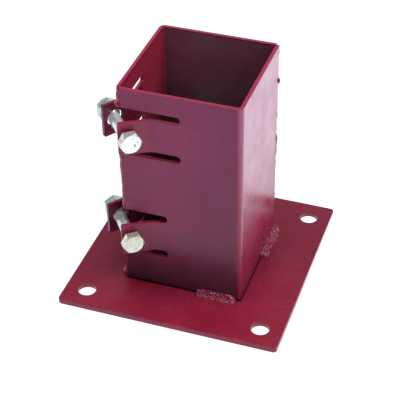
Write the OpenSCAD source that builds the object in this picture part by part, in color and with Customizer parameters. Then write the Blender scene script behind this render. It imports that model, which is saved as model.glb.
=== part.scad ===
// Bolt-down anchor for a square timber post: a square steel sleeve, folded
// from two L-shaped sheets and seam welded, stands on a square base plate.
// At one corner, at two heights, slots free a short strip of each wall; the
// strips end in ears that a hexagon bolt draws together, which grips the post.
// Millimetres, +Z up, origin at the centre of the base plate's underside.

/* [Base plate] */
// Side of the square base plate
plate_w = 150; // [146:1:180]
// Thickness of the base plate
plate_t = 4; // [3:0.5:8]
// Radius of the plate's corners
plate_r = 2.5; // [0.5:0.5:6]
// Spacing of the fixing holes, centre to centre
hole_pitch = 120; // [112:1:126]
// Diameter of the fixing holes
hole_d = 12; // [8:0.5:14]

/* [Sleeve] */
// Outside width of the square sleeve
sleeve_w = 80.5; // [80:0.5:81]
// Thickness of the sleeve sheet
sheet_t = 2.5; // [2:0.1:3]
// Height of the sleeve above the plate
sleeve_h = 150; // [145:1:200]
// Outside radius of the two folded corners
fold_r = 4; // [3.2:0.2:6]

/* [Clamp strips] */
// Height of a clamp strip and of its ear
strip_h = 23.3; // [22:0.1:25]
// Height of the slots above and below a strip
slot_w = 5.5; // [4.5:0.1:6]
// Centre height of the upper clamp
upper_z = 123.4; // [118:0.2:126]
// Centre height of the lower clamp
lower_z = 45.4; // [42:0.2:60]
// Radius of the ears' outer corners
ear_r = 1.4; // [0.5:0.1:3]
// Play of the rounded strip root in its socket
root_gap = 0.06; // [0.04:0.01:0.1]

/* [Fasteners] */
// Diameter of the bolt shank
bolt_d = 8; // [7.6:0.1:8]
// Length of the bolt under its head
bolt_len = 45; // [43:1:48]
// Width across the flats of bolt head and nut
flats = 13; // [12.6:0.1:13]
// Height of the bolt head
head_h = 5.3; // [4.8:0.1:5.5]
// Height of the nut
nut_h = 6.5; // [6:0.1:6.8]
// Distance of the slack nuts from the side ears
nut_back = 3.4; // [0:0.1:4.5]
// Bolt hole in the front ears
front_hole_d = 9; // [8.9:0.1:9.6]
// Bolt hole in the side ears
side_hole_d = 11.5; // [11.3:0.1:11.8]

/* [Welds] */
// Leg of the fillet welds on the base plate
fillet = 4.2; // [3:0.1:5]

/* [Hidden] */
$fn = 96;
eps = 0.01;

paint = [0.55, 0.14, 0.25];
weld_paint = [0.50, 0.17, 0.29];
zinc = [0.78, 0.81, 0.80];

half = sleeve_w / 2;            // outer face of the sleeve
inner = half - sheet_t;         // inner face of the sleeve
mid = half - sheet_t / 2;       // middle of the sheet
top_z = plate_t + sleeve_h;

// One clamp strip: distance of its root from the sleeve's middle plane, then
// on the outer face the place of the bend, the bend angle, the bend radius and
// the length of the ear
fu = [-1.75, -18.1, 30, 14, 20.2];    // front, upper
su = [-1.75, -14.8, 35, 10, 22.8];    // side, upper
fl = [-11.85, -16.5, 30, 14, 23.0];   // front, lower
sl = [-11.55, -14.8, 38, 8, 22.9];    // side, lower

// One bolt: angle of its axis from +Y towards -X, and the distance of the
// axis from the middle of the sleeve
bu = [41.3, 54.1];
bl = [38.2, 54.5];
// Shift of the side ear's hole from the axis towards the bend, which leaves
// room for the strips to close
hole_shift = 0.6;

// Where the bolt axis crosses an ear, measured along the ear from its bend.
// depth is 0 on the ear's outer face and sheet_t on its inner face.
function ear_dir(side, a) = side ? [-sin(a), -cos(a)] : [-cos(a), -sin(a)];
function ear_out(side, a) = side ? [-cos(a), sin(a)] : [sin(a), -cos(a)];
function bend_at(side, c) = side ? [-half, c[1]] : [c[1], -half];
function off(b) = [-cos(b[0]), -sin(b[0])];
function along(b) = [-sin(b[0]), cos(b[0])];
function cross_s(side, c, b, depth) =
    let (v = bend_at(side, c) - depth * ear_out(side, c[2]))
    (b[1] - off(b) * v) / (off(b) * ear_dir(side, c[2]));
function cross_p(side, c, b, depth) =
    bend_at(side, c) - depth * ear_out(side, c[2])
    + cross_s(side, c, b, depth) * ear_dir(side, c[2]);
// The washer face rests on the ear with its edge, because ear and bolt are
// not quite square to each other
face_r = 5.8;
function tilt_front(c, b) = b[0] - c[2];
function tilt_side(c, b) = 90 - c[2] - b[0];
seat_gap = 0.05;

module slot_cuts(zc) {
    // two slots open at the corner, with round ends
    for (s = [-1, 1])
        translate([0, 0, zc + s * (strip_h + slot_w) / 2]) {
            translate([-half - 20, -sheet_t * 2, -slot_w / 2])
                cube([half + 20, sheet_t * 4, slot_w]);
            rotate([90, 0, 0])
                cylinder(d = slot_w, h = sheet_t * 4, center = true);
        }
    // the strip itself, down to its round root
    translate([-half - 20, -sheet_t * 2, zc - strip_h / 2 - root_gap])
        cube([half + 20, sheet_t * 4, strip_h + 2 * root_gap]);
    translate([0, 0, zc - strip_h / 2 - root_gap])
        cylinder(r = sheet_t / 2 + root_gap, h = strip_h + 2 * root_gap);
}

// An L-shaped half of the sleeve with one fold; its long free edges stop at
// the inner faces, so the corners between the halves are open for the weld
module half_sleeve() {
    translate([0, 0, plate_t]) linear_extrude(sleeve_h) {
        translate([-inner, -half]) square([inner + half - fold_r, sheet_t]);
        translate([half - sheet_t, -half + fold_r]) square([sheet_t, inner + half - fold_r]);
        intersection() {
            translate([half - fold_r, -half + fold_r]) difference() {
                circle(r = fold_r);
                circle(r = fold_r - sheet_t);
            }
            translate([half - fold_r, -half]) square([fold_r, fold_r]);
        }
    }
}

function arc(c, r, a0, a1, n) =
    [for (i = [0 : n]) c + r * [cos(a0 + (a1 - a0) * i / n), sin(a0 + (a1 - a0) * i / n)]];

// A strip with its ear. Its root is at the origin and it runs along +X, with
// the outer face towards +Y.
module strip(run, a, r, ear, hole_s, hole_d) {
    tan_len = r * tan(a / 2);
    flat = run - tan_len;
    len = ear - tan_len;
    c = [flat, sheet_t / 2 + r];
    tip = c + len * [cos(a), sin(a)];
    difference() {
        translate([0, 0, -strip_h / 2]) linear_extrude(strip_h) polygon(concat(
            arc([0, 0], sheet_t / 2, 90, 270, 24),
            arc(c, r + sheet_t, -90, a - 90, 24),
            [tip + (r + sheet_t) * [sin(a), -cos(a)], tip + r * [sin(a), -cos(a)]],
            arc(c, r, a - 90, -90, 24)));
        translate([c[0], c[1], 0]) rotate([0, 0, a]) translate([0, -r - sheet_t / 2, 0]) {
            translate([hole_s - tan_len, 0, 0]) rotate([90, 0, 0])
                cylinder(d = hole_d, h = sheet_t + 2, center = true);
            for (s = [-1, 1]) translate([len - ear_r, 0, s * (strip_h / 2 - ear_r)])
                difference() {
                    translate([0, -sheet_t, s > 0 ? 0 : -ear_r - 1])
                        cube([ear_r + 1, 2 * sheet_t, ear_r + 1]);
                    rotate([90, 0, 0])
                        cylinder(r = ear_r * 1.03, h = 3 * sheet_t, center = true);
                }
        }
    }
}

module front_strip(c, b, zc)
    translate([c[0], -mid, zc]) rotate([0, 0, 180])
        strip(c[0] - c[1], c[2], c[3], c[4],
              cross_s(false, c, b, sheet_t / 2), front_hole_d);

module side_strip(c, b, zc)
    translate([-mid, c[0], zc]) rotate([0, 0, -90]) mirror([0, 1, 0])
        strip(c[0] - c[1], c[2], c[3], c[4],
              cross_s(true, c, b, sheet_t / 2) - hole_shift, side_hole_d);

// Frame with +Z along a bolt, at distance s from the front ear's outer face
module on_bolt(c, b, zc, s) {
    p = cross_p(false, c, b, 0) + s * along(b);
    translate([p[0], p[1], zc]) rotate([-90, 0, b[0]]) children();
}

module hex_body(h, corner_low, corner_top, turn) {
    intersection() {
        rotate([0, 0, turn]) cylinder(d = flats / cos(30), h = h, $fn = 6);
        rotate_extrude() polygon([[0, 0], [face_r, 0], [face_r, corner_low[0]],
            [flats, corner_low[1]], [flats, h - corner_top * (flats - face_r - 0.4)],
            [face_r + 0.4, h], [0, h]]);
    }
}

module hex_bolt(turn) {
    // head below the origin, shank above
    translate([0, 0, 0]) mirror([0, 0, 1])
        hex_body(head_h, [0.4, 0.4], 0.577, turn);
    cylinder(d = bolt_d, h = bolt_len - 0.9);
    translate([0, 0, bolt_len - 0.9])
        cylinder(d1 = bolt_d, d2 = bolt_d - 1.8, h = 0.9);
}

module hex_nut(turn) {
    difference() {
        hex_body(nut_h, [0, 0.36 * (flats - face_r)], 0.36, turn);
        translate([0, 0, -1]) cylinder(d = bolt_d + 0.06, h = nut_h + 2);
        for (s = [0, 1])
            translate([0, 0, s * nut_h]) mirror([0, 0, s])
                translate([0, 0, -eps]) cylinder(d1 = bolt_d + 0.86, d2 = bolt_d + 0.06, h = 0.4);
    }
}

module clamp_bolt(c, b, zc, turn)
    on_bolt(c, b, zc, -face_r * tan(tilt_front(c, b)) - seat_gap) hex_bolt(turn);

module clamp_nut(cf, cs, b, zc, turn)
    on_bolt(cf, b, zc, (cross_p(true, cs, b, 0) - cross_p(false, cf, b, 0)) * along(b)
            + face_r * tan(tilt_side(cs, b)) + seat_gap + nut_back) hex_nut(turn);

// Fillet weld along +X, in the corner between a wall at -Y and the plate
module fillet_weld(len) {
    intersection() {
        union() {
            rotate([90, 0, 90]) cylinder(r = fillet, h = len);
            sphere(r = fillet);
            translate([len, 0, 0]) sphere(r = fillet);
        }
        translate([-fillet - 1, 0, 0]) cube([len + 2 * fillet + 2, fillet + 1, fillet + 1]);
    }
}

module seam_bead(z0, z1)
    translate([0, 0, z0]) linear_extrude(z1 - z0) intersection() {
        circle(r = sheet_t);
        square(sheet_t + 1);
    }

module base_plate() color(paint) difference() {
    linear_extrude(plate_t) {
        square([plate_w, plate_w - 2 * plate_r], center = true);
        square([plate_w - 2 * plate_r, plate_w], center = true);
        for (x = [-1, 1], y = [-1, 1])
            translate([x, y] * (plate_w / 2 - plate_r)) circle(r = plate_r);
    }
    for (x = [-1, 1], y = [-1, 1])
        translate([x * hole_pitch / 2, y * hole_pitch / 2, -1])
            cylinder(d = hole_d, h = plate_t + 2);
}

module sleeve_front_right() color(paint) difference() {
    half_sleeve();
    translate([fu[0], -mid, 0]) slot_cuts(upper_z);
    translate([fl[0], -mid, 0]) slot_cuts(lower_z);
}

module sleeve_back_left() color(paint) difference() {
    rotate([0, 0, 180]) half_sleeve();
    translate([-mid, su[0], 0]) rotate([0, 0, 90]) slot_cuts(upper_z);
    translate([-mid, sl[0], 0]) rotate([0, 0, 90]) slot_cuts(lower_z);
}

module front_tab_upper() color(paint) front_strip(fu, bu, upper_z);
module side_tab_upper() color(paint) side_strip(su, bu, upper_z);
module front_tab_lower() color(paint) front_strip(fl, bl, lower_z);
module side_tab_lower() color(paint) side_strip(sl, bl, lower_z);

module seam_weld_front_left() color(weld_paint)
    translate([-inner, -inner, 0]) rotate([0, 0, 180]) {
        seam_bead(plate_t, lower_z - strip_h / 2 - slot_w);
        seam_bead(lower_z + strip_h / 2 + slot_w, upper_z - strip_h / 2 - slot_w);
        seam_bead(upper_z + strip_h / 2 + slot_w, top_z);
    }

module seam_weld_back_right() color(weld_paint)
    translate([inner, inner, 0]) {
        seam_bead(plate_t, top_z - 11);
        seam_bead(top_z - 6.5, top_z);
    }

module base_weld_front() color(weld_paint)
    translate([37.4 - fillet, -half, plate_t]) rotate([0, 0, 180])
        fillet_weld(28.2 - 2 * fillet);

module base_weld_right() color(weld_paint)
    translate([half, 39 - fillet, plate_t]) rotate([0, 0, -90])
        fillet_weld(32.7 - 2 * fillet);

module base_weld_back() color(weld_paint)
    translate([-16, half, plate_t]) fillet_weld(32);

module base_weld_left() color(weld_paint)
    translate([-half, -34, plate_t]) rotate([0, 0, 90]) fillet_weld(28);

module bolt_upper() color(zinc) clamp_bolt(fu, bu, upper_z, 0);
module nut_upper() color(zinc) clamp_nut(fu, su, bu, upper_z, 30);
module bolt_lower() color(zinc) clamp_bolt(fl, bl, lower_z, 0);
module nut_lower() color(zinc) clamp_nut(fl, sl, bl, lower_z, 30);

base_plate();
sleeve_front_right();
sleeve_back_left();
front_tab_upper();
side_tab_upper();
front_tab_lower();
side_tab_lower();
seam_weld_front_left();
seam_weld_back_right();
base_weld_front();
base_weld_right();
base_weld_back();
base_weld_left();
bolt_upper();
nut_upper();
bolt_lower();
nut_lower();
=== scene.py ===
import math
import bmesh
import bpy
import numpy as np
from mathutils import Matrix, Vector, noise


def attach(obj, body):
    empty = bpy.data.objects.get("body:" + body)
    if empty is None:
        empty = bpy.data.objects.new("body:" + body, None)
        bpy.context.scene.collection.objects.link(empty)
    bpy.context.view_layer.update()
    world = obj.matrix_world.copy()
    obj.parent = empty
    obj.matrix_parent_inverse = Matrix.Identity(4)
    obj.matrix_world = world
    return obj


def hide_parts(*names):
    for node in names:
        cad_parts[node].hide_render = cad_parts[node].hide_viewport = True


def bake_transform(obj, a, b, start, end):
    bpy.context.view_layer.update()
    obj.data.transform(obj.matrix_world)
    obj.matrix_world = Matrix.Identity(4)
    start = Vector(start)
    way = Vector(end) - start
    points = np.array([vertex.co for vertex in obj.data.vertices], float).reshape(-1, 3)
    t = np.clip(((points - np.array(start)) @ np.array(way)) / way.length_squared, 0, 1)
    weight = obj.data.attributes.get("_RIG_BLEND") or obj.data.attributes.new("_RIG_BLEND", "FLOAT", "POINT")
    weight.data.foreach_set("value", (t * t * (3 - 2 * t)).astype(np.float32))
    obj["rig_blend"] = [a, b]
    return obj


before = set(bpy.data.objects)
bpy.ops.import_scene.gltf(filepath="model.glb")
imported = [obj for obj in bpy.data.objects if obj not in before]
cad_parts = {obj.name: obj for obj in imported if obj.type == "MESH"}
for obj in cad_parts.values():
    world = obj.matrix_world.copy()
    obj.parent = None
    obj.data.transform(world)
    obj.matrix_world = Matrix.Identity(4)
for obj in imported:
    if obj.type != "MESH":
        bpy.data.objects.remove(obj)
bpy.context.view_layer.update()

# ------------------------------------------------------------------ sizes, mm
PLATE_W, PLATE_T, PLATE_R = 150.0, 4.0, 2.5
PITCH, HOLE_D = 120.0, 12.0
SLEEVE_W, T, FOLD = 80.5, 2.5, 4.0
TOP = 154.0
STRIP_H, SLOT_W = 23.3, 5.5
Z_UP, Z_LO = 123.4, 45.4
HALF = SLEEVE_W / 2
INNER = HALF - T
MID = HALF - T / 2
# root, bend, bend angle, bend radius, ear length
FU = (-1.75, -18.1, 30.0, 14.0, 20.2)
SU = (-1.75, -14.8, 35.0, 10.0, 22.8)
FL = (-11.85, -16.5, 30.0, 14.0, 23.0)
SL = (-11.55, -14.8, 38.0, 8.0, 22.9)
BU = (41.3, 54.1)
BL = (38.2, 54.5)
HOLE_SHIFT = 0.6
FRONT_HOLE, SIDE_HOLE = 9.0, 11.5
EAR_R = 1.4
FACE_R = 5.8
SEAT_GAP = 0.05
NUT_BACK = 3.4           # the nuts stand off the side ears by this much
BOLT_LEN = 45.0
EDGE = 0.38              # rounding of the painted sheet edges


# ------------------------------------------------------------------- helpers
def link(name, me):
    o = bpy.data.objects.new(name, me)
    bpy.context.scene.collection.objects.link(o)
    return o


def from_lists(name, verts, faces):
    me = bpy.data.meshes.new(name)
    me.from_pydata([tuple(v) for v in verts], [], [tuple(f) for f in faces])
    me.update()
    return link(name, me)


def extrude_poly(name, pts, z0, z1, axis="Z"):
    """A closed prism from a counter-clockwise outline."""
    n = len(pts)
    verts = [(x, y, z0) for x, y in pts] + [(x, y, z1) for x, y in pts]
    faces = [tuple(range(n - 1, -1, -1)), tuple(range(n, 2 * n))]
    faces += [(i, (i + 1) % n, n + (i + 1) % n, n + i) for i in range(n)]
    return from_lists(name, verts, faces)


def prism(name, pts, h, mat):
    """An outline extruded from 0 to h along its own +Z, then placed by mat."""
    o = extrude_poly(name, pts, 0, h)
    o.data.transform(mat)
    return o


def arc(c, r, a0, a1, n):
    return [(c[0] + r * math.cos(math.radians(a0 + (a1 - a0) * i / n)),
             c[1] + r * math.sin(math.radians(a0 + (a1 - a0) * i / n))) for i in range(n + 1)]


def bake(o):
    """Applies the modifiers of o without operators."""
    bpy.context.view_layer.update()
    dg = bpy.context.evaluated_depsgraph_get()
    me = bpy.data.meshes.new_from_object(o.evaluated_get(dg), preserve_all_data_layers=True, depsgraph=dg)
    o.modifiers.clear()
    old = o.data
    o.data = me
    bpy.data.meshes.remove(old)
    return o


def drop(*objs):
    for o in objs:
        me = o.data
        bpy.data.objects.remove(o)
        if me is not None and me.users == 0:
            bpy.data.meshes.remove(me)


def cut(o, *cutters):
    for c in cutters:
        m = o.modifiers.new("cut", "BOOLEAN")
        m.operation = "DIFFERENCE"
        m.solver = "EXACT"
        m.object = c
        bake(o)
        drop(c)
    return o


def tidy(o, dist=1e-4, angle=0.3):
    bm = bmesh.new()
    bm.from_mesh(o.data)
    bmesh.ops.remove_doubles(bm, verts=bm.verts, dist=dist)
    bmesh.ops.dissolve_limit(bm, angle_limit=math.radians(angle), verts=bm.verts, edges=bm.edges)
    bmesh.ops.recalc_face_normals(bm, faces=bm.faces)
    bm.to_mesh(o.data)
    bm.free()
    return o


def slices(o, cuts):
    """Cuts the mesh along planes, given as (point, normal)."""
    bm = bmesh.new()
    bm.from_mesh(o.data)
    for p, n in cuts:
        bmesh.ops.bisect_plane(bm, geom=bm.verts[:] + bm.edges[:] + bm.faces[:], dist=1e-5,
                               plane_co=p, plane_no=n)
    bm.to_mesh(o.data)
    bm.free()
    return o


def remove_faces(o, test):
    bm = bmesh.new()
    bm.from_mesh(o.data)
    gone = [f for f in bm.faces if test(f)]
    bmesh.ops.delete(bm, geom=gone, context="FACES_ONLY")
    bm.to_mesh(o.data)
    bm.free()
    return o


def cap(o):
    bm = bmesh.new()
    bm.from_mesh(o.data)
    edges = [e for e in bm.edges if len(e.link_faces) == 1]
    for f in bmesh.ops.holes_fill(bm, edges=edges, sides=0)["faces"]:
        f.smooth = False
        for e in f.edges:
            e.smooth = False
    bmesh.ops.recalc_face_normals(bm, faces=bm.faces)
    bm.to_mesh(o.data)
    bm.free()
    return o


def bevel(o, width, segments=3, angle=38.0):
    m = o.modifiers.new("bevel", "BEVEL")
    m.width = width
    m.segments = segments
    m.limit_method = "ANGLE"
    m.angle_limit = math.radians(angle)
    m.harden_normals = True
    m.use_clamp_overlap = True
    m.miter_outer = "MITER_ARC"
    for p in o.data.polygons:
        p.use_smooth = True
    return bake(o)


def smooth(o):
    for p in o.data.polygons:
        p.use_smooth = True
    return o


def split_normals(o, angle=35.0):
    """Smooth shading that breaks at edges sharper than the angle."""
    smooth(o)
    bm = bmesh.new()
    bm.from_mesh(o.data)
    lim = math.radians(angle)
    for e in bm.edges:
        if len(e.link_faces) == 2 and e.calc_face_angle(0.0) > lim:
            e.smooth = False
    bm.to_mesh(o.data)
    bm.free()
    return o


def to_metres(o):
    o.data.transform(Matrix.Scale(0.001, 4))
    return o


def clean_attributes(o):
    for a in list(o.data.attributes):
        if a.name in ("bevel_weight_edge", "crease_edge"):
            o.data.attributes.remove(a)


def join(name, *objs):
    """Joins meshes by hand, keeping their faces' smoothing."""
    bm = bmesh.new()
    for o in objs:
        bm.from_mesh(o.data)
    me = bpy.data.meshes.new(name)
    bm.to_mesh(me)
    bm.free()
    drop(*objs)
    return link(name, me)


def finish_piece(o, body, nodes, mat):
    to_metres(o)
    o.data.materials.clear()
    o.data.materials.append(mat)
    if body:
        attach(o, body)
    if nodes:
        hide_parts(*nodes)
    return o


# ------------------------------------------------------------------ materials
def new_mat(name):
    m = bpy.data.materials.new(name)
    m.use_nodes = True
    nt = m.node_tree
    nt.nodes.clear()
    out = nt.nodes.new("ShaderNodeOutputMaterial")
    bsdf = nt.nodes.new("ShaderNodeBsdfPrincipled")
    nt.links.new(bsdf.outputs[0], out.inputs[0])
    return m, nt, bsdf


def node(nt, kind, **inputs):
    n = nt.nodes.new(kind)
    for k, v in inputs.items():
        if k in n.inputs:
            n.inputs[k].default_value = v
        else:
            setattr(n, k, v)
    return n


def noise_tex(nt, vec, scale, detail=3.0, rough=0.5, distort=0.0):
    n = nt.nodes.new("ShaderNodeTexNoise")
    n.inputs["Scale"].default_value = scale
    n.inputs["Detail"].default_value = detail
    n.inputs["Roughness"].default_value = rough
    n.inputs["Distortion"].default_value = distort
    nt.links.new(vec, n.inputs["Vector"])
    return n.outputs["Fac"]


def ramp(nt, fac, stops, interpolation="LINEAR"):
    r = nt.nodes.new("ShaderNodeValToRGB")
    r.color_ramp.interpolation = interpolation
    while len(r.color_ramp.elements) > 1:
        r.color_ramp.elements.remove(r.color_ramp.elements[-1])
    r.color_ramp.elements[0].position = stops[0][0]
    r.color_ramp.elements[0].color = stops[0][1]
    for pos, col in stops[1:]:
        e = r.color_ramp.elements.new(pos)
        e.color = col
    nt.links.new(fac, r.inputs["Fac"])
    return r.outputs["Color"]


def grey(v):
    return (v, v, v, 1.0)


def mix_color(nt, fac, a, b, mode="MIX"):
    m = nt.nodes.new("ShaderNodeMix")
    m.data_type = "RGBA"
    m.blend_type = mode
    ia = [s for s in m.inputs if s.name == "A" and s.type == "RGBA"][0]
    ib = [s for s in m.inputs if s.name == "B" and s.type == "RGBA"][0]
    fi = [s for s in m.inputs if s.name == "Factor" and s.type == "VALUE"][0]
    for sock, v in ((ia, a), (ib, b), (fi, fac)):
        if isinstance(v, bpy.types.NodeSocket):
            nt.links.new(v, sock)
        else:
            sock.default_value = v
    return [s for s in m.outputs if s.type == "RGBA"][0]


def math_node(nt, op, a, b=None, clamp=False):
    m = nt.nodes.new("ShaderNodeMath")
    m.operation = op
    m.use_clamp = clamp
    for i, v in enumerate((a, b)):
        if v is None:
            continue
        if isinstance(v, bpy.types.NodeSocket):
            nt.links.new(v, m.inputs[i])
        else:
            m.inputs[i].default_value = v
    return m.outputs[0]


def bump(nt, height, dist, strength=1.0, normal=None):
    b = nt.nodes.new("ShaderNodeBump")
    b.inputs["Strength"].default_value = strength
    b.inputs["Distance"].default_value = dist
    nt.links.new(height, b.inputs["Height"])
    if normal is not None:
        nt.links.new(normal, b.inputs["Normal"])
    return b.outputs["Normal"]


def map_range(nt, value, lo, hi):
    m = nt.nodes.new("ShaderNodeMapRange")
    m.interpolation_type = "SMOOTHSTEP"
    m.inputs["From Min"].default_value = lo
    m.inputs["From Max"].default_value = hi
    nt.links.new(value, m.inputs["Value"])
    return m.outputs["Result"]


def within(nt, value, lim, soft):
    """1 where the value lies between -lim and lim."""
    return math_node(nt, "SUBTRACT", 1.0, map_range(nt, math_node(nt, "ABSOLUTE", value), lim - soft, lim + soft))


def sleeve_zones(nt, tc, col):
    """Tones that stand in for the photo's shading, not for other paint: edges, foot, inside, front right."""
    geo = nt.nodes.new("ShaderNodeNewGeometry")
    ns = nt.nodes.new("ShaderNodeSeparateXYZ")
    nt.links.new(geo.outputs["Normal"], ns.inputs[0])
    ps = nt.nodes.new("ShaderNodeSeparateXYZ")
    nt.links.new(tc.outputs["Object"], ps.inputs[0])
    x, y, z = ps.outputs
    foot = math_node(nt, "MULTIPLY", math_node(nt, "SUBTRACT", 1.0, map_range(nt, z, 0.010, 0.066)),
                     math_node(nt, "SUBTRACT", 1.0, map_range(nt, ns.outputs["X"], 0.15, 0.75)))
    front = math_node(nt, "SUBTRACT", 1.0, map_range(nt, ns.outputs["X"], 0.05, 0.30))
    shade = math_node(nt, "MULTIPLY", front, map_range(nt, x, -0.015, 0.038))
    col = mix_color(nt, shade, col, mix_color(nt, 1.0, col, (0.78, 0.92, 0.96, 1), "MULTIPLY"))
    col = mix_color(nt, math_node(nt, "MULTIPLY", foot, 0.85), col, (0.100, 0.013, 0.033, 1))
    sole = math_node(nt, "MULTIPLY", front, math_node(nt, "SUBTRACT", 1.0, map_range(nt, z, 0.008, 0.036)))
    col = mix_color(nt, math_node(nt, "MULTIPLY", sole, 0.8), col, (0.112, 0.034, 0.052, 1))
    col = mix_color(nt, math_node(nt, "SUBTRACT", 1.0, map_range(nt, z, 0.0047, 0.0058)), col, (0.030, 0.003, 0.009, 1))
    col = mix_color(nt, map_range(nt, ns.outputs["Z"], 0.78, 0.95), col, (0.37, 0.018, 0.070, 1))
    inside = math_node(nt, "MULTIPLY", within(nt, x, 0.0379, 0.0001), within(nt, y, 0.0379, 0.0001))
    inside = math_node(nt, "MULTIPLY", inside, math_node(nt, "SUBTRACT", 1.0, map_range(nt, z, 0.1525, 0.1535)))
    deep = math_node(nt, "MULTIPLY", inside, math_node(nt, "SUBTRACT", 1.0, map_range(nt, z, 0.075, 0.140)))
    back = math_node(nt, "MULTIPLY", inside, map_range(nt, y, 0.0368, 0.0376))
    col = mix_color(nt, back, col, (0.265, 0.090, 0.130, 1))
    left = math_node(nt, "MULTIPLY", inside, map_range(nt, ns.outputs["X"], 0.6, 0.9))
    col = mix_color(nt, left, col, (0.390, 0.024, 0.056, 1))
    return mix_color(nt, math_node(nt, "MULTIPLY", deep, 0.75), col, (0.068, 0.044, 0.052, 1))


def plate_zones(nt, tc, col):
    """Tones that stand in for the photo's shading: darker to the rear, and dark in the crevice at the sleeve."""
    ps = nt.nodes.new("ShaderNodeSeparateXYZ")
    nt.links.new(tc.outputs["Object"], ps.inputs[0])
    x, y, z = ps.outputs
    rear = map_range(nt, y, -0.055, 0.045)
    col = mix_color(nt, rear, col, mix_color(nt, 1.0, col, (0.80, 0.95, 0.98, 1), "MULTIPLY"))
    shut = math_node(nt, "MULTIPLY", within(nt, x, 0.04075, 0.0004), within(nt, y, 0.04075, 0.0004))
    return mix_color(nt, shut, col, (0.035, 0.003, 0.010, 1))


def side_zones(nt, tc, col):
    """Tones for the side ears, whose darker paint is painted shade: the wall's colour at the root, and a painted
    highlight on edges that face up.
    """
    geo = nt.nodes.new("ShaderNodeNewGeometry")
    ns = nt.nodes.new("ShaderNodeSeparateXYZ")
    nt.links.new(geo.outputs["Normal"], ns.inputs[0])
    ps = nt.nodes.new("ShaderNodeSeparateXYZ")
    nt.links.new(tc.outputs["Object"], ps.inputs[0])
    col = mix_color(nt, map_range(nt, ps.outputs["Y"], -0.016, -0.003), col, (0.240, 0.0138, 0.048, 1))
    return mix_color(nt, map_range(nt, ns.outputs["Z"], 0.78, 0.95), col, (0.37, 0.018, 0.070, 1))


def paint(name, deep, fresh, rough=(0.20, 0.34), peel=0.00003, wave=0.00012, seed=0.0, scuff=0.5, zones=None):
    """Gloss enamel brushed over steel: two close shades, orange peel, long soft waves, faint scuffs."""
    m, nt, bsdf = new_mat(name)
    tc = nt.nodes.new("ShaderNodeTexCoord")
    mp = nt.nodes.new("ShaderNodeMapping")
    mp.inputs["Location"].default_value = (seed, seed * 0.7, -seed * 0.3)
    nt.links.new(tc.outputs["Object"], mp.inputs["Vector"])
    vec = mp.outputs["Vector"]
    broad = noise_tex(nt, vec, 26.0, 4.0, 0.55)
    fine = noise_tex(nt, vec, 240.0, 3.0, 0.6)
    col = mix_color(nt, ramp(nt, broad, [(0.34, grey(0)), (0.66, grey(1))]), deep, fresh)
    speck = ramp(nt, fine, [(0.30, grey(0.86)), (0.62, grey(1.0)), (0.80, grey(1.10))])
    col = mix_color(nt, 1.0, col, speck, "MULTIPLY")
    # hair scratches: noise stretched along one direction, kept only at its crest
    st = nt.nodes.new("ShaderNodeMapping")
    st.inputs["Rotation"].default_value = (0.35, 0.9, 0.5 + seed)
    st.inputs["Scale"].default_value = (1.0, 30.0, 30.0)
    nt.links.new(tc.outputs["Object"], st.inputs["Vector"])
    hair = noise_tex(nt, st.outputs["Vector"], 34.0, 2.0, 0.5)
    hair = ramp(nt, hair, [(0.70, grey(0)), (0.735, grey(1))])
    col = mix_color(nt, math_node(nt, "MULTIPLY", hair, 0.30 * scuff), col, (0.62, 0.22, 0.33, 1))
    if zones:
        col = zones(nt, tc, col)
    nt.links.new(col, bsdf.inputs["Base Color"])
    r1 = ramp(nt, noise_tex(nt, vec, 55.0, 5.0, 0.6), [(0.30, grey(rough[0])), (0.72, grey(rough[1]))])
    rgh = math_node(nt, "ADD", r1, math_node(nt, "MULTIPLY", hair, 0.20 * scuff), clamp=True)
    nt.links.new(rgh, bsdf.inputs["Roughness"])
    bsdf.inputs["IOR"].default_value = 1.43
    n1 = bump(nt, noise_tex(nt, vec, 18.0, 1.0, 0.4), wave)
    n2 = bump(nt, noise_tex(nt, vec, 620.0, 2.0, 0.5), peel, 1.0, n1)
    nt.links.new(n2, bsdf.inputs["Normal"])
    return m


def zinc(name, seed, base, rough, metal):
    """Bright zinc plating: cool silver, cloudy, with fine tool marks."""
    m, nt, bsdf = new_mat(name)
    tc = nt.nodes.new("ShaderNodeTexCoord")
    mp = nt.nodes.new("ShaderNodeMapping")
    mp.inputs["Location"].default_value = (seed, -seed, seed * 0.5)
    nt.links.new(tc.outputs["Object"], mp.inputs["Vector"])
    vec = mp.outputs["Vector"]
    cloud = noise_tex(nt, vec, 420.0, 4.0, 0.6)
    col = mix_color(nt, ramp(nt, cloud, [(0.35, grey(0)), (0.65, grey(1))]), base[0], base[1])
    tint = ramp(nt, noise_tex(nt, vec, 160.0, 2.0, 0.5), [(0.40, (0.94, 1.0, 0.985, 1)), (0.62, (1.0, 1.0, 1.0, 1))])
    col = mix_color(nt, 1.0, col, tint, "MULTIPLY")
    speck = ramp(nt, noise_tex(nt, vec, 520.0, 1.0, 0.4), [(0.28, (0.26, 0.32, 0.27, 1)), (0.345, grey(1.0))])
    col = mix_color(nt, 1.0, col, speck, "MULTIPLY")
    nt.links.new(col, bsdf.inputs["Base Color"])
    bsdf.inputs["Metallic"].default_value = metal
    r1 = ramp(nt, noise_tex(nt, vec, 700.0, 4.0, 0.65), [(0.32, grey(rough[0])), (0.70, grey(rough[1]))])
    nt.links.new(r1, bsdf.inputs["Roughness"])
    n1 = bump(nt, noise_tex(nt, vec, 900.0, 4.0, 0.6), 0.00002)
    nt.links.new(n1, bsdf.inputs["Normal"])
    return m


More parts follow.
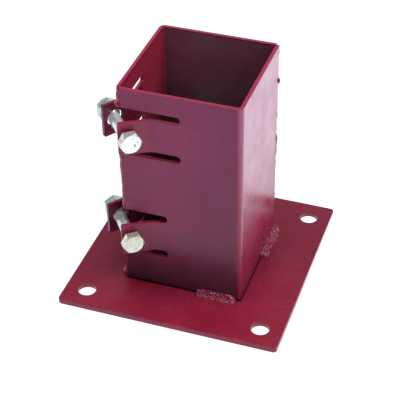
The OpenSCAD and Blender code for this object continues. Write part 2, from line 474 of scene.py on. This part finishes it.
DEEP, FRESH = (0.222, 0.0120, 0.044, 1), (0.274, 0.0158, 0.054, 1)
M_PLATE = paint("plate_paint", (0.290, 0.0145, 0.043, 1), (0.350, 0.0185, 0.052, 1), seed=0.0, zones=plate_zones)
M_SEAM = paint("seam_paint", (0.25, 0.012, 0.045, 1), (0.34, 0.018, 0.065, 1), rough=(0.16, 0.30), peel=0.00012, wave=0.00015,
               seed=3.7, scuff=0.0)
M_WALL = paint("sleeve_paint", DEEP, FRESH, rough=(0.22, 0.36), seed=1.3, zones=sleeve_zones)
# The side ears' darker enamel is painted shade: the same paint as the wall, darkened.
M_SIDE = paint("side_ear_paint", (0.128, 0.011, 0.031, 1), (0.165, 0.014, 0.038, 1), rough=(0.22, 0.36), seed=2.6,
               zones=side_zones)

def weld_zones(nt, tc, col):
    """Painted glints: small pale pink flecks stand in for light caught by the weld's grains; darker pits between them.
    """
    glint_noise = noise_tex(nt, tc.outputs["Object"], 820.0, 4.0, 0.75)
    col = mix_color(nt, ramp(nt, glint_noise, [(0.575, grey(0)), (0.63, grey(1))]), col, (0.80, 0.36, 0.60, 1))
    pits = noise_tex(nt, tc.outputs["Object"], 430.0, 2.0, 0.5)
    return mix_color(nt, ramp(nt, pits, [(0.34, grey(1)), (0.42, grey(0))]), col, (0.20, 0.009, 0.04, 1))


M_WELD = paint("weld_paint", (0.27, 0.015, 0.060, 1), (0.38, 0.030, 0.105, 1), rough=(0.12, 0.26),
               peel=0.00022, wave=0.0002, seed=2.1, scuff=0.0, zones=weld_zones)
M_BOLT = zinc("bolt_zinc", 0.0, ((0.72, 0.70, 0.64, 1), (0.92, 0.885, 0.83, 1)), (0.20, 0.38), 0.60)
# The lower bolt's yellower zinc is a painted reflection tint on the same plating as the upper bolt.
M_BOLT_LOW = zinc("bolt_zinc_low", 0.0, ((0.72, 0.71, 0.52, 1), (0.96, 0.94, 0.72, 1)), (0.20, 0.38), 0.60)
# The shank is the same zinc as the head; its whiter base colour is painted light, standing in for the bright light
# along the shank.
M_SHANK = zinc("shank_zinc", 1.7, ((0.90, 0.95, 0.94, 1), (0.98, 0.99, 0.99, 1)), (0.14, 0.26), 0.45)
M_NUT = zinc("nut_zinc", 0.4, ((0.40, 0.53, 0.50, 1), (0.60, 0.71, 0.68, 1)), (0.20, 0.40), 0.85)


def blob(c, r, turn=0.0, rings=7, segs=14):
    """A low rounded lump: weld spatter or a paint run under the enamel."""
    verts, faces = [(0, 0, 1.0)], []
    for k in range(1, rings):
        a = math.pi * k / rings
        verts += [(math.sin(a) * math.cos(2 * math.pi * i / segs), math.sin(a) * math.sin(2 * math.pi * i / segs),
                   math.cos(a)) for i in range(segs)]
    verts.append((0, 0, -1.0))
    last = len(verts) - 1
    for i in range(segs):
        j = (i + 1) % segs
        faces.append((0, 1 + i, 1 + j))
        for k in range(rings - 2):
            faces.append((1 + k * segs + i, 1 + (k + 1) * segs + i, 1 + (k + 1) * segs + j, 1 + k * segs + j))
        faces.append((last, 1 + (rings - 2) * segs + j, 1 + (rings - 2) * segs + i))
    o = from_lists("blob", verts, faces)
    o.data.transform(Matrix.Translation(c) @ Matrix.Rotation(turn, 4, "Z") @ Matrix.Diagonal((r[0], r[1], r[2], 1)))
    return o


# ----------------------------------------------------------------- base plate
def make_plate():
    h = PLATE_W / 2
    pts = []
    for cx, cy, a in ((h - PLATE_R, -h + PLATE_R, -90), (h - PLATE_R, h - PLATE_R, 0),
                      (-h + PLATE_R, h - PLATE_R, 90), (-h + PLATE_R, -h + PLATE_R, 180)):
        pts += arc((cx, cy), PLATE_R, a, a + 90, 8)
    o = extrude_poly("base_plate_shown", pts, 0, PLATE_T)
    for x in (-1, 1):
        for y in (-1, 1):
            ring = arc((x * PITCH / 2, y * PITCH / 2), HOLE_D / 2, 0, 360, 64)[:-1]
            cut(o, extrude_poly("c", ring, -1, PLATE_T + 1))
    tidy(o)
    spots = [((38.8, -67.8), 0.95, 0.5), ((49.4, -9.7), 0.8, 0.55), ((49.8, -17.2), 0.9, 0.6), ((48.4, 32.7), 0.7, 0.45),
             ((-53.6, -41.0), 0.8, 0.5), ((54.5, 4.0), 0.45, 0.3), ((22.0, -52.0), 0.4, 0.25), ((-30.5, -47.0), 0.45, 0.3)]
    o = join("base_plate_shown", o, *[blob((x, y, PLATE_T), (r, r * 0.85, h), 0.3 * x) for (x, y), r, h in spots])
    bevel(o, 0.45, 4, 50.0)
    return finish_piece(o, "anchor", ["base_plate"], M_PLATE)


# -------------------------------------------------------------- sleeve halves
def half_outline():
    """Front wall and right wall with the fold between them, counter-clockwise."""
    c = (HALF - FOLD, -HALF + FOLD)
    pts = [(-INNER, -HALF)]
    pts += arc(c, FOLD, -90, 0, 14)
    pts += [(HALF, INNER), (INNER, INNER)]
    pts += arc(c, FOLD - T, 0, -90, 14)
    pts += [(-INNER, -INNER)]
    return pts


def slot_cutter(zc, s, front, root):
    """One open slot with a round end, as a cutter through the wall."""
    z = zc + s * (STRIP_H + SLOT_W) / 2
    r = SLOT_W / 2
    pts = [(-60.0, -r)] + arc((root, 0), r, -90, 90, 20) + [(-60.0, r)]
    # local x runs along the wall, local y is up, extruded through the wall
    if front:
        m = Matrix(((1, 0, 0, 0), (0, 0, 1, -MID - 4), (0, 1, 0, z), (0, 0, 0, 1)))
    else:
        m = Matrix(((0, 0, 1, -MID - 4), (1, 0, 0, 0), (0, 1, 0, z), (0, 0, 0, 1)))
    o = prism("c", pts, 8, m)
    bm = bmesh.new()
    bm.from_mesh(o.data)
    bmesh.ops.recalc_face_normals(bm, faces=bm.faces)
    bm.to_mesh(o.data)
    bm.free()
    return o


def window_cutter(zc, front, root):
    z0, z1 = zc - STRIP_H / 2 - 0.8, zc + STRIP_H / 2 + 0.8
    if front:
        pts = [(-60, -MID - 4), (root, -MID - 4), (root, -MID + 4), (-60, -MID + 4)]
    else:
        pts = [(-MID - 4, -60), (-MID + 4, -60), (-MID + 4, root), (-MID - 4, root)]
    return extrude_poly("c", pts, z0, z1)


def make_half(name, front, clamps):
    o = extrude_poly(name, half_outline(), PLATE_T + 0.25, TOP)
    if not front:
        o.data.transform(Matrix.Rotation(math.pi, 4, "Z"))
    for root, zc in clamps:
        cut(o, slot_cutter(zc, -1, front, root), slot_cutter(zc, 1, front, root),
            window_cutter(zc, front, root))
    tidy(o)
    axis = 0 if front else 1

    def is_root(f):
        n = f.normal
        c = f.calc_center_median()
        return any(abs(c[axis] - root) < 0.01 and abs(c.z - zc) < STRIP_H / 2 and abs(abs(n[axis]) - 1) < 0.01
                   for root, zc in clamps)

    remove_faces(o, is_root)
    k = HALF - FOLD - 0.6
    k = k if front else -k
    slices(o, [((k, 0, 0), (1, 0, 0)), ((0, -k, 0), (0, 1, 0))])
    if front:
        marks = [((7.5, 15.2), 0.7, 0.7, 0.4), ((9.8, 12.2), 0.6, 0.6, 0.45), ((-19.8, 51.1), 0.55, 3.4, 0.28)]
        o = join(name, o, *[blob((x, -HALF, z), (rx, d, rz)) for (x, z), rx, rz, d in marks])
    bevel(o, EDGE, 3, 45.0)
    cap(o)
    return o


def make_sleeve():
    a = make_half("sleeve_front_right_shown", True, ((FU[0], Z_UP), (FL[0], Z_LO)))
    finish_piece(a, "anchor", ["sleeve_front_right"], M_WALL)
    b = make_half("sleeve_back_left_shown", False, ((SU[0], Z_UP), (SL[0], Z_LO)))
    finish_piece(b, "anchor", ["sleeve_back_left"], M_WALL)
    return a, b


# --------------------------------------------------------------- clamp strips
def ear_dir(side, a):
    a = math.radians(a)
    return Vector((-math.sin(a), -math.cos(a))) if side else Vector((-math.cos(a), -math.sin(a)))


def ear_out(side, a):
    a = math.radians(a)
    return Vector((-math.cos(a), math.sin(a))) if side else Vector((math.sin(a), -math.cos(a)))


def cross_s(side, c, b, depth):
    v = (Vector((-HALF, c[1])) if side else Vector((c[1], -HALF))) - depth * ear_out(side, c[2])
    off = Vector((-math.cos(math.radians(b[0])), -math.sin(math.radians(b[0]))))
    return (b[1] - off.dot(v)) / off.dot(ear_dir(side, c[2]))


def cross_p(side, c, b, depth):
    v = (Vector((-HALF, c[1])) if side else Vector((c[1], -HALF))) - depth * ear_out(side, c[2])
    return v + cross_s(side, c, b, depth) * ear_dir(side, c[2])


def make_strip(name, side, c, b, zc, hole_d, body, cad_node, bend_len):
    run = c[0] - c[1]
    a, r, ear = c[2], c[3], c[4]
    tan_len = r * math.tan(math.radians(a / 2))
    flat = run - tan_len
    length = ear - tan_len
    cc = (flat, T / 2 + r)
    ca, sa = math.cos(math.radians(a)), math.sin(math.radians(a))
    tip = (cc[0] + length * ca, cc[1] + length * sa)
    pts = [(0, T / 2), (0, -T / 2)]
    pts += arc(cc, r + T, -90, a - 90, 20)
    pts += [(tip[0] + (r + T) * sa, tip[1] - (r + T) * ca), (tip[0] + r * sa, tip[1] - r * ca)]
    pts += arc(cc, r, a - 90, -90, 20)
    o = extrude_poly(name, pts, -STRIP_H / 2, STRIP_H / 2)
    hole_s = cross_s(side, c, b, T / 2) - (HOLE_SHIFT if side else 0.0)
    local = Matrix.Translation((cc[0], cc[1], 0)) @ Matrix.Rotation(math.radians(a), 4, "Z") \
        @ Matrix.Translation((0, -r - T / 2, 0))
    through = Matrix(((1, 0, 0, 0), (0, 0, 1, -4), (0, 1, 0, 0), (0, 0, 0, 1)))
    ring = prism("c", arc((hole_s - tan_len, 0), hole_d / 2, 0, 360, 56)[:-1], 8, local @ through)
    cutters = [ring]
    for s in (-1, 1):
        k = STRIP_H / 2 - EAR_R
        cx, cz = length - EAR_R, s * k
        if s > 0:
            corner = [(length + 1, k), (length + 1, STRIP_H / 2 + 1), (cx, STRIP_H / 2 + 1)] \
                + arc((cx, cz), EAR_R * 1.02, 90, 0, 6)
        else:
            corner = [(cx, -STRIP_H / 2 - 1), (length + 1, -STRIP_H / 2 - 1), (length + 1, -k)] \
                + arc((cx, cz), EAR_R * 1.02, 0, -90, 6)
        cutters.append(prism("c", corner, 8, local @ through))
    for k in cutters:
        bm = bmesh.new()
        bm.from_mesh(k.data)
        bmesh.ops.recalc_face_normals(bm, faces=bm.faces)
        bm.to_mesh(k.data)
        bm.free()
    cut(o, *cutters)
    tidy(o)
    remove_faces(o, lambda f: f.calc_center_median().x < 0.01 and abs(f.normal.x) > 0.9)
    n = max(3, int(flat / 1.2))
    slices(o, [((flat * i / n, 0, 0), (1, 0, 0)) for i in range(1, n + 1)])
    bevel(o, EDGE, 3)
    cap(o)
    if side:
        place = Matrix(((0, -1, 0, -MID), (-1, 0, 0, c[0]), (0, 0, 1, zc), (0, 0, 0, 1)))
    else:
        place = Matrix(((-1, 0, 0, c[0]), (0, -1, 0, -MID), (0, 0, 1, zc), (0, 0, 0, 1)))
    o.data.transform(place)
    if side:
        o.data.flip_normals()
    finish_piece(o, None, [cad_node], M_SIDE if side else M_WALL)
    if side:
        start, end = (-MID, c[0], zc), (-MID, c[0] - bend_len, zc)
    else:
        start, end = (c[0], -MID, zc), (c[0] - bend_len, -MID, zc)
    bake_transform(o, "anchor", body, start=[v * 0.001 for v in start], end=[v * 0.001 for v in end])
    return o


# ----------------------------------------------------------------- fasteners
def revolve_hex(name, profile, flats, turn, segs=96):
    """A solid of revolution cut to a hexagon: each ring's radius is the profile's, clipped by the flats."""
    rings = []
    angs = sorted(set([round(360.0 * i / segs, 6) for i in range(segs)]))
    for rad, z in profile:
        row = []
        for a in angs:
            t = math.radians((a - turn) % 60.0 - 30.0)
            lim = flats / 2 / math.cos(t)
            q = min(rad, lim)
            row.append((q * math.cos(math.radians(a)), q * math.sin(math.radians(a)), z))
        rings.append(row)
    verts = [p for row in rings for p in row]
    n = len(angs)
    faces = []
    for k in range(len(rings) - 1):
        for i in range(n):
            j = (i + 1) % n
            faces.append((k * n + i, k * n + j, (k + 1) * n + j, (k + 1) * n + i))
    return verts, faces, n, len(rings)


def on_bolt(c, b, zc, s):
    p = cross_p(False, c, b, 0.0)
    d = Vector((-math.sin(math.radians(b[0])), math.cos(math.radians(b[0]))))
    p = p + s * d
    return Matrix.Translation((p.x, p.y, zc)) @ Matrix.Rotation(math.radians(b[0]), 4, "Z") \
        @ Matrix.Rotation(math.radians(-90), 4, "X")


def hex_solid(name, h, low, top, turn, bore=None, dome=0.0):
    """Hexagon head or nut body along +Z from 0 to h, chamfered round at its ends."""
    F = 13.0
    rc = F / math.cos(math.radians(30)) / 2 + 0.02
    prof = []
    z_low, slope_low = low
    prof.append((FACE_R - 0.12, 0.0))
    prof.append((FACE_R, 0.10 if z_low > 0 else 0.0))
    if z_low > 0:
        prof.append((FACE_R, z_low))
        prof.append((FACE_R + 0.05, z_low + 0.02))
    steps = 10
    zl0 = z_low + 0.02 if z_low > 0 else 0.0
    for i in range(1, steps + 1):
        rad = FACE_R + (rc - FACE_R) * i / steps
        prof.append((rad, zl0 + slope_low * (rad - FACE_R)))
    zt = h - top * (rc - FACE_R - 0.4)
    prof.append((rc, zt))
    for i in range(1, steps + 1):
        rad = rc - (rc - FACE_R - 0.4) * i / steps
        prof.append((rad, h - top * (rad - FACE_R - 0.4)))
    prof.append((FACE_R + 0.25, h - 0.02))
    verts, faces, n, m = revolve_hex(name, prof, F, turn, 120)
    return verts, faces, n, m


def close_disc(verts, faces, ring_start, n, z, flip):
    c = len(verts)
    verts.append((0, 0, z))
    for i in range(n):
        j = (i + 1) % n
        f = (ring_start + i, ring_start + j, c)
        faces.append(f[::-1] if flip else f)


def thread_rings(z0, z1, pitch, r_major, depth, per_turn=48, run_in=1.5, end_cham=1.0):
    """Helical thread surface as a grid: rows run along z, columns go round."""
    rows = int((z1 - z0) / (pitch / 12.0))
    out = []
    for k in range(rows + 1):
        z = z0 + (z1 - z0) * k / rows
        row = []
        for i in range(per_turn):
            a = 2 * math.pi * i / per_turn
            ph = ((z - z0) / pitch - i / per_turn) % 1.0
            tri = abs(ph * 2 - 1)                     # 1 at the crest, 0 at the root
            tri = min(1.0, max(0.0, (tri - 0.10) / 0.78))
            fade = min(1.0, max(0.0, (z - z0) / run_in))
            q = r_major - depth * (1 - tri) * fade
            q = min(q, r_major - max(0.0, z - (z1 - end_cham)) * 0.9)
            row.append((q * math.cos(a), q * math.sin(a), z))
        out.append(row)
    return out


def make_bolt(name, c, b, zc, turn, body, cad_node, mat, shank_mat):
    tilt = b[0] - c[2]
    place = on_bolt(c, b, zc, -FACE_R * math.tan(math.radians(tilt)) - SEAT_GAP)
    # head, below the origin
    verts, faces, n, m = hex_solid(name, 5.3, (0.4, 0.0), 0.577, turn)
    close_disc(verts, faces, (m - 1) * n, n, 5.3 - 0.10, False)
    close_disc(verts, faces, 0, n, 0.0, True)
    verts = [(x, -y, -z) for x, y, z in verts]
    head = from_lists(name + "_head", verts, faces)
    # shank with its thread
    R = 3.97
    rows = []
    for rad, z in ((R + 0.5, -0.15), (R + 0.12, 0.15), (R, 0.5), (R, 6.0), (R, 12.0), (R, 18.0), (R, 25.2)):
        rows.append([(rad * math.cos(2 * math.pi * i / 48), rad * math.sin(2 * math.pi * i / 48), z) for i in range(48)])
    rows += thread_rings(25.6, BOLT_LEN, 1.25, R, 0.62)
    sv = [p for r in rows for p in r]
    sf = []
    for k in range(len(rows) - 1):
        for i in range(48):
            j = (i + 1) % 48
            sf.append((k * 48 + i, k * 48 + j, (k + 1) * 48 + j, (k + 1) * 48 + i))
    close_disc(sv, sf, (len(rows) - 1) * 48, 48, BOLT_LEN, False)
    close_disc(sv, sf, 0, 48, -0.15, True)
    shank = from_lists(name + "_shank", sv, sf)
    head.name = name
    for o in (head, shank):
        bm = bmesh.new()
        bm.from_mesh(o.data)
        bmesh.ops.recalc_face_normals(bm, faces=bm.faces)
        bm.to_mesh(o.data)
        bm.free()
        split_normals(o, 28)
        o.data.transform(place)
    finish_piece(shank, body, [], shank_mat)
    return finish_piece(head, body, [cad_node], mat)


def make_nut(name, cf, cs, b, zc, turn, body, cad_node, mat):
    d = Vector((-math.sin(math.radians(b[0])), math.cos(math.radians(b[0]))))
    s = (cross_p(True, cs, b, 0.0) - cross_p(False, cf, b, 0.0)).dot(d)
    s += FACE_R * math.tan(math.radians(90 - cs[2] - b[0])) + SEAT_GAP + NUT_BACK
    place = on_bolt(cf, b, zc, s)
    H = 6.5
    verts, faces, n, m = hex_solid(name, H, (0.0, 0.36), 0.36, turn)
    # bore with lead-in chamfers and thread turns
    rows = [[(4.45 * math.cos(2 * math.pi * i / n), 4.45 * math.sin(2 * math.pi * i / n), H)for i in range(n)]]
    steps = 60
    for k in range(steps + 1):
        z = H - 0.35 - (H - 0.7) * k / steps
        row = []
        for i in range(n):
            ph = (z / 1.25 - i / n) % 1.0
            q = 4.06 + 0.28 * abs(ph * 2 - 1)
            row.append((q * math.cos(2 * math.pi * i / n), q * math.sin(2 * math.pi * i / n), z))
        rows.append(row)
    rows.append([(4.45 * math.cos(2 * math.pi * i / n), 4.45 * math.sin(2 * math.pi * i / n), 0.0)for i in range(n)])
    base = len(verts)
    verts += [p for r in rows for p in r]
    for k in range(len(rows) - 1):
        for i in range(n):
            j = (i + 1) % n
            faces.append((base + k * n + i, base + k * n + j, base + (k + 1) * n + j, base + (k + 1) * n + i))
    top, last = (m - 1) * n, base + (len(rows) - 1) * n
    for i in range(n):
        j = (i + 1) % n
        faces.append((top + i, top + j, base + j, base + i))
        faces.append((last + i, last + j, j, i))
    o = from_lists(name, verts, faces)
    bm = bmesh.new()
    bm.from_mesh(o.data)
    bmesh.ops.recalc_face_normals(bm, faces=bm.faces)
    bm.to_mesh(o.data)
    bm.free()
    split_normals(o, 24)
    o.data.transform(place)
    return finish_piece(o, body, [cad_node], mat)


# --------------------------------------------------------------------- welds
def fbm(x, y, z, octaves=4):
    v, amp, f = 0.0, 1.0, 1.0
    for _ in range(octaves):
        v += amp * noise.noise(Vector((x * f, y * f, z * f)))
        amp *= 0.55
        f *= 2.1
    return v


def bead(name, p0, p1, wall, up, size, seed, sunk=0.6, ripple=0.22, rough=0.30, span=(0.0, 90.0), step=0.28,
         around=18, swell=None, end=1.0, flat=0.10, lumps=0.0, spread=1.0):
    """A weld bead from p0 to p1 in the corner between the directions wall and up, with ripples like a run of
    frozen pools. It reaches sunk into both sheets, so no gap shows."""
    p0, p1, wall, up = Vector(p0), Vector(p1), Vector(wall).normalized(), Vector(up).normalized()
    L = (p1 - p0).length
    d = (p1 - p0) / L
    n = max(8, int(L / step))
    rows = []
    for k in range(n + 1):
        s = L * k / n
        e0, e1 = min(1.0, s / (size * end)), min(1.0, (L - s) / (size * end))
        taper = math.sqrt(max(0.0, 1 - (1 - e0) ** 2)) * math.sqrt(max(0.0, 1 - (1 - e1) ** 2))
        taper = max(taper, 0.02)
        wob = 1.0 + 0.14 * fbm(s * 0.16, seed, 0.3)
        big = swell(s) if swell else 1.0
        row = []
        base = p0 + d * s
        for i in range(around + 1):
            a = math.radians(span[0] + (span[1] - span[0]) * i / around)
            mid = math.sin(math.pi * i / around)
            pool = abs(math.sin(math.pi * (s / 1.9 + 0.25 * mid + 0.25 * fbm(s * 0.2, seed + 5, 0.0))))
            q = size * big * wob * (0.95 - flat * mid) * taper
            lump = fbm(s * 0.42, a * 1.3, seed + 9.0, 2)
            q += (ripple * pool * mid + (rough * fbm(s * 0.9, a * 2.2, seed) + lumps * lump) * (0.35 + mid)) \
                * min(1.0, taper * 1.5)
            q = max(q, 0.05)
            row.append(base + wall * (q * spread * math.cos(a)) + up * (q * math.sin(a)))
        # the back of the bead, inside the sheets
        row.append(base - wall * sunk * taper + up * (row[-1] - base).dot(up) * 0.8)
        row.append(base - wall * sunk * taper - up * sunk * taper)
        row.append(base + wall * (row[0] - base).dot(wall) * 0.8 - up * sunk * taper)
        rows.append(row)
    w = len(rows[0])
    verts = [v for r in rows for v in r]
    faces = []
    for k in range(n):
        for i in range(w):
            j = (i + 1) % w
            faces.append((k * w + i, k * w + j, (k + 1) * w + j, (k + 1) * w + i))
    faces.append(tuple(range(w - 1, -1, -1)))
    faces.append(tuple(n * w + i for i in range(w)))
    o = from_lists(name, verts, faces)
    bm = bmesh.new()
    bm.from_mesh(o.data)
    bmesh.ops.recalc_face_normals(bm, faces=bm.faces)
    bm.to_mesh(o.data)
    bm.free()
    split_normals(o, 70)
    return o


def make_welds():
    z = PLATE_T
    o = bead("base_weld_front_shown", (9.4, -HALF, z), (37.2, -HALF, z), (0, -1, 0), (0, 0, 1), 3.9, 11.0,
             flat=0.36, lumps=0.55, rough=0.46, spread=1.20, ripple=0.10)
    finish_piece(o, "anchor", ["base_weld_front"], M_WELD)
    o = bead("base_weld_right_shown", (HALF, 6.5, z), (HALF, 42.8, z), (1, 0, 0), (0, 0, 1), 4.1, 23.0,
             flat=0.34, lumps=0.50, rough=0.46, spread=1.25, ripple=0.10)
    finish_piece(o, "anchor", ["base_weld_right"], M_WELD)
    o = bead("base_weld_back_shown", (-19.8, HALF, z), (19.8, HALF, z), (0, 1, 0), (0, 0, 1), 4.3, 37.0,
             flat=0.34, lumps=0.38, rough=0.34, spread=1.14, ripple=0.10)
    finish_piece(o, "anchor", ["base_weld_back"], M_WELD)
    o = bead("base_weld_left_shown", (-HALF, -38.0, z), (-HALF, -2.2, z), (-1, 0, 0), (0, 0, 1), 4.3, 51.0,
             flat=0.34, lumps=0.38, rough=0.34, spread=1.14, ripple=0.10)
    finish_piece(o, "anchor", ["base_weld_left"], M_WELD)

    # corner seams, between the edges of the two folded halves
    def seam(name, corner, wx, wy, z0, z1, seed, swell=None, size=2.62):
        return bead(name, (corner[0], corner[1], z0), (corner[0], corner[1], z1), wx, wy, size, seed,
                    sunk=0.25, ripple=0.12, rough=0.16, around=14, swell=swell, end=0.35, step=0.35)

    lo_b, lo_t = Z_LO - STRIP_H / 2 - SLOT_W, Z_LO + STRIP_H / 2 + SLOT_W
    up_b, up_t = Z_UP - STRIP_H / 2 - SLOT_W, Z_UP + STRIP_H / 2 + SLOT_W
    c = (-INNER, -INNER)

    def hump(s, at, wide, tall):
        return tall * math.exp(-((s - at) / wide) ** 2)

    parts = [
        seam("w", c, (-1, 0, 0), (0, -1, 0), z, lo_b - 0.1, 3.0),
        seam("w", c, (-1, 0, 0), (0, -1, 0), lo_t + 0.1, up_b - 0.1, 5.0,
             lambda s: 1 + hump(s, 42, 4.5, 0.22) + hump(s, 33, 3.0, 0.35) + hump(s, 3, 3, 0.12)),
        seam("w", c, (-1, 0, 0), (0, -1, 0), up_t + 0.1, TOP - 0.15, 7.0,
             lambda s: 1 + hump(s, 1.0, 2.6, 0.55) + hump(s, 7.5, 2.2, 0.30)),
    ]
    o = join("seam_weld_front_left_shown", *parts)
    split_normals(o, 70)
    finish_piece(o, "anchor", ["seam_weld_front_left"], M_SEAM)
    c = (INNER, INNER)
    parts = [
        seam("w", c, (1, 0, 0), (0, 1, 0), z, TOP - 11, 13.0,
             lambda s: 1 + hump(s, 124, 1.8, 0.55) + hump(s, 74, 5.0, 0.16) + hump(s, 80, 2.0, 0.14)),
        seam("w", c, (1, 0, 0), (0, 1, 0), TOP - 6.5, TOP - 0.1, 17.0, lambda s: 1.06, 2.7),
    ]
    o = join("seam_weld_back_right_shown", *parts)
    split_normals(o, 70)
    finish_piece(o, "anchor", ["seam_weld_back_right"], M_SEAM)


# --------------------------------------------------------------- build it all
make_plate()
make_sleeve()
make_strip("front_tab_upper_shown", False, FU, BU, Z_UP, FRONT_HOLE, "front_tab_upper", "front_tab_upper", 12.0)
make_strip("side_tab_upper_shown", True, SU, BU, Z_UP, SIDE_HOLE, "side_tab_upper", "side_tab_upper", 8.0)
make_strip("front_tab_lower_shown", False, FL, BL, Z_LO, FRONT_HOLE, "front_tab_lower", "front_tab_lower", 6.0)
make_strip("side_tab_lower_shown", True, SL, BL, Z_LO, SIDE_HOLE, "side_tab_lower", "side_tab_lower", 6.0)
make_bolt("bolt_upper_shown", FU, BU, Z_UP, 0, "bolt_upper", "bolt_upper", M_BOLT, M_SHANK)
make_bolt("bolt_lower_shown", FL, BL, Z_LO, 0, "bolt_lower", "bolt_lower", M_BOLT_LOW, M_SHANK)
make_nut("nut_upper_shown", FU, SU, BU, Z_UP, 30, "nut_upper", "nut_upper", M_NUT)
make_nut("nut_lower_shown", FL, SL, BL, Z_LO, 30, "nut_lower", "nut_lower", M_NUT)
make_welds()

# --------------------------------------------------------------------- floor
def floor_material():
    """White paper, lit from beneath: a little stronger behind the right-hand side, cooler in front."""
    m, nt, bsdf = new_mat("floor_paper")
    tc = nt.nodes.new("ShaderNodeTexCoord")
    col = ramp(nt, noise_tex(nt, tc.outputs["Object"], 6.0, 3.0, 0.5), [(0.3, grey(0.09)), (0.7, grey(0.11))])
    nt.links.new(col, bsdf.inputs["Base Color"])
    bsdf.inputs["Roughness"].default_value = 0.9
    bsdf.inputs["Specular IOR Level"].default_value = 0.0
    sep = nt.nodes.new("ShaderNodeSeparateXYZ")
    nt.links.new(tc.outputs["Object"], sep.inputs[0])
    warm = math_node(nt, "MAXIMUM", map_range(nt, sep.outputs["X"], -0.03, 0.05), map_range(nt, sep.outputs["Y"], -0.10, -0.06))
    base = mix_color(nt, warm, (1.03, 1.03, 1.55, 1), (1.03, 1.05, 1.07, 1))
    beside = map_range(nt, sep.outputs["Y"], -0.03, 0.02)
    base = mix_color(nt, math_node(nt, "MULTIPLY", beside, map_range(nt, sep.outputs["X"], 0.052, 0.088)), base,
                     (1.98, 2.20, 2.55, 1))
    ahead = math_node(nt, "MULTIPLY", math_node(nt, "SUBTRACT", 1.0, beside), map_range(nt, sep.outputs["X"], 0.09, 0.17))
    nt.links.new(mix_color(nt, ahead, base, (1.95, 2.50, 3.00, 1)), bsdf.inputs["Emission Color"])
    bsdf.inputs["Emission Strength"].default_value = 1.0
    return m


floor = from_lists("floor", [(-6, -6, 0), (6, -6, 0), (6, 6, 0), (-6, 6, 0)], [(0, 1, 2, 3)])
floor.location = (0, 0, -0.00005)
floor.data.materials.append(floor_material())

# --------------------------------------------------------------------- light
world = bpy.data.worlds.new("studio")
bpy.context.scene.world = world
world.use_nodes = True
wn = world.node_tree
bg = wn.nodes["Background"]
tc = wn.nodes.new("ShaderNodeTexCoord")
sep = wn.nodes.new("ShaderNodeSeparateXYZ")
wn.links.new(tc.outputs["Generated"], sep.inputs[0])
# a bright room behind and to the left, dim towards the camera and to the right
behind = ramp(wn, sep.outputs["Z"], [(0.0, (0.92, 0.94, 0.95, 1)), (0.35, (0.80, 0.82, 0.83, 1)),
                                     (0.62, (0.26, 0.265, 0.27, 1)), (1.0, (0.30, 0.30, 0.31, 1))])
low = ramp(wn, sep.outputs["Z"], [(0.0, (0.03, 0.03, 0.033, 1)), (0.5, (0.03, 0.03, 0.033, 1)), (1.0, (0.30, 0.30, 0.31, 1))])
back_side = map_range(wn, sep.outputs["Y"], -0.20, 0.15)
left_side = math_node(wn, "SUBTRACT", 1.0, map_range(wn, sep.outputs["X"], 0.10, 0.60))
sky = mix_color(wn, math_node(wn, "MULTIPLY", back_side, left_side), low, behind)
wn.links.new(sky, bg.inputs["Color"])
bg.inputs["Strength"].default_value = 1.0


def area(name, loc, target, size, power, color=(1, 1, 1)):
    l = bpy.data.lights.new(name, "AREA")
    l.shape = "RECTANGLE"
    l.size, l.size_y = size
    l.energy = power
    l.color = color
    o = bpy.data.objects.new(name, l)
    bpy.context.scene.collection.objects.link(o)
    o.location = loc
    o.rotation_euler = (Vector(target) - Vector(loc)).to_track_quat("-Z", "Y").to_euler()
    return o


area("key_soft", (1.10, 0.05, 1.00), (0, 0, 0.06), (0.7, 0.7), 10.5)
area("top_soft", (-0.12, -0.14, 1.45), (0, 0, 0.06), (0.8, 0.8), 9.0)

# -------------------------------------------------------------------- camera
AZ, EL, ROLL = math.radians(19.247), math.radians(37.703), math.radians(-0.639)
F_PX, DIST, TX, TY = 1251.235, 861.728, -1.095, 35.436
back = Vector((math.sin(AZ) * math.cos(EL), -math.cos(AZ) * math.cos(EL), math.sin(EL)))
right = Vector((math.cos(AZ), math.sin(AZ), 0))
up = back.cross(right)
r_ax = right * math.cos(ROLL) + up * math.sin(ROLL)
u_ax = -right * math.sin(ROLL) + up * math.cos(ROLL)
loc = (back * DIST + r_ax * TX + u_ax * TY + Vector((-0.2, 0.4, 4.0))) * 0.001
cam = bpy.data.cameras.new("camera")
cam.sensor_width = 36.0
cam.lens = F_PX / 400.0 * 36.0
cam.clip_start, cam.clip_end = 0.01, 50.0
cam_o = bpy.data.objects.new("camera", cam)
bpy.context.scene.collection.objects.link(cam_o)
m3 = Matrix((r_ax, u_ax, back)).transposed()
cam_o.matrix_world = Matrix.Translation(loc) @ m3.to_4x4()
bpy.context.scene.camera = cam_o
bpy.context.scene.view_settings.view_transform = "Standard"
bpy.context.scene.view_settings.look = "None"
